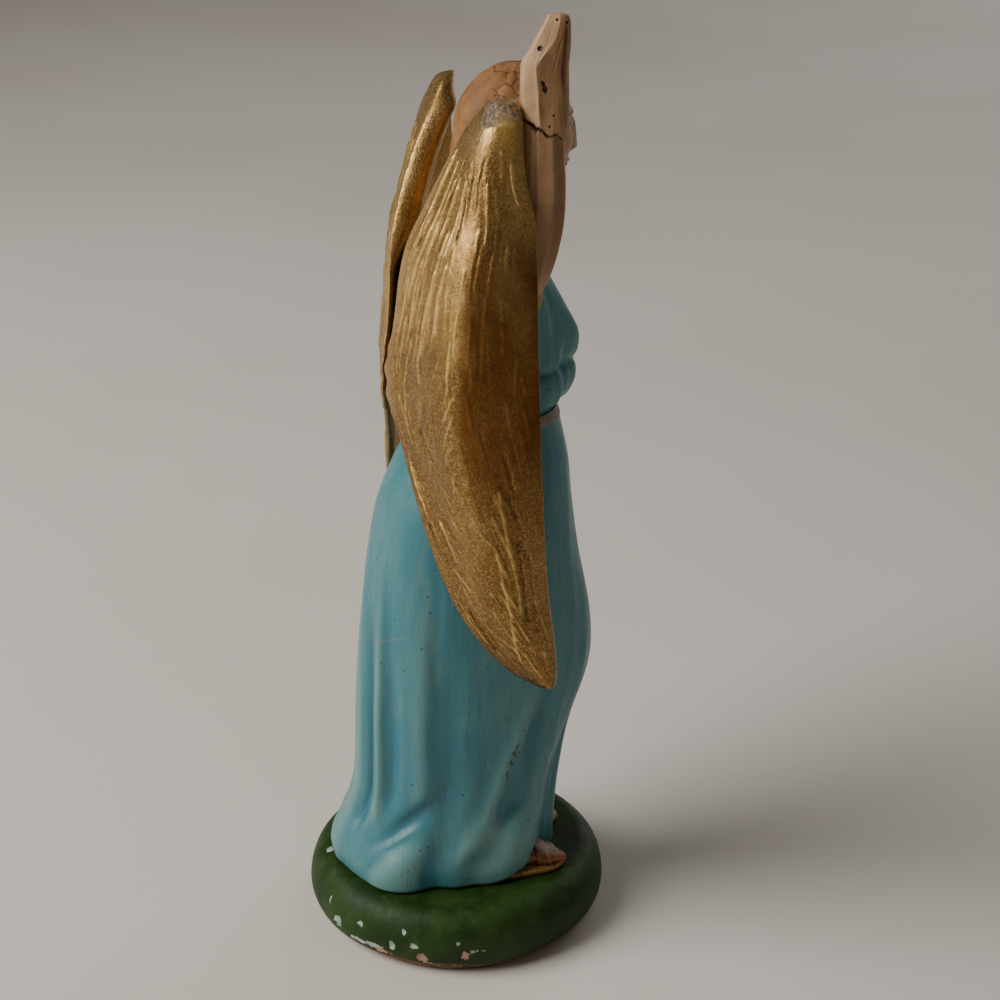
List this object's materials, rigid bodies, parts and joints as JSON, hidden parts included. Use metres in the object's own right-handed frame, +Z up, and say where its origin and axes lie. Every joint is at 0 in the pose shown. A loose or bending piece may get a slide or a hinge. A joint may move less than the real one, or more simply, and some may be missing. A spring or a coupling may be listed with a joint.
{
  "type": "wooden angel statue",
  "caption": "Painted wooden angel in a long robe with a raised right hand and gilded wings folded down the back, standing on a low round base.",
  "frame": {"origin": "middle of the base's flat underside", "axes": "+Z up through the figure, -Y the way the figure faces, +X the figure's left side"},
  "size_m": [0.073, 0.072, 0.2153],
  "materials": {
    "base_paint": "dark green paint on wood, chipped pale and bare along the lower edge",
    "robe_paint": "streaky turquoise paint on wood with a satin sheen and small dark pits",
    "skin_paint": "matt pale skin paint over knife-cut facets",
    "gold_paint": "grainy gold-bronze metallic paint, rubbed bright on the ridges"
  },
  "bodies": {
    "root": {"base": "base_paint", "figure": "robe_paint", "right_hand": "skin_paint", "right_wing": "gold_paint", "left_wing": "gold_paint"}
  },
  "joints": []
}
